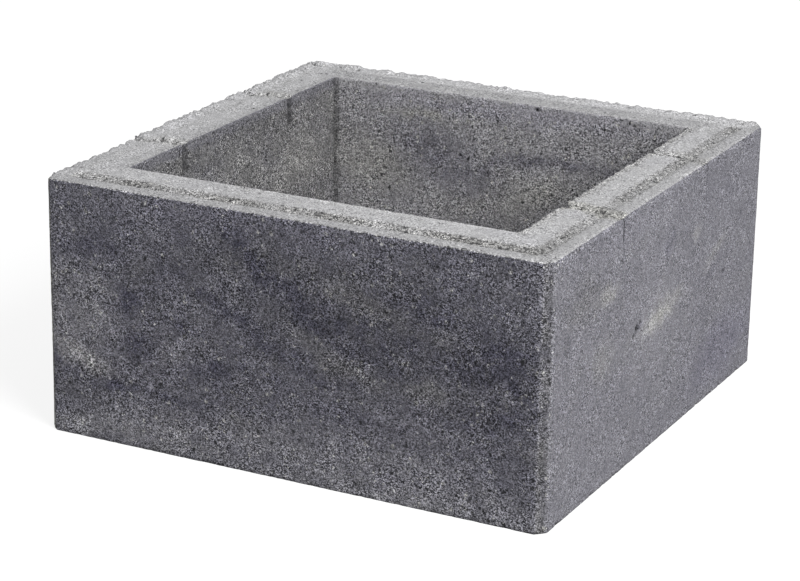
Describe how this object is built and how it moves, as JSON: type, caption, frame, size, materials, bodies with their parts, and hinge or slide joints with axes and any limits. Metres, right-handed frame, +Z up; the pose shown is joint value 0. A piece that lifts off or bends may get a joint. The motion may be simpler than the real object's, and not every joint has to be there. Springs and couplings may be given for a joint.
{
  "type": "hollow square concrete block",
  "caption": "Hollow square concrete block with a through core, bevelled upright corners and a stepped rim, for stacking into pillars, planters and posts filled with concrete or soil.",
  "frame": {"origin": "middle of the bed, where the block's upright centre line meets the floor", "axes": "+Z up out of the open core; X along the core-bar marks; -Y towards the plain front face"},
  "size_m": [0.39, 0.39, 0.19],
  "materials": {
    "concrete": "matt, open-textured pressed concrete in shaded charcoal grey, paler and crumbly on the rim"
  },
  "bodies": {
    "root": {"concrete_block": "concrete"}
  },
  "joints": []
}
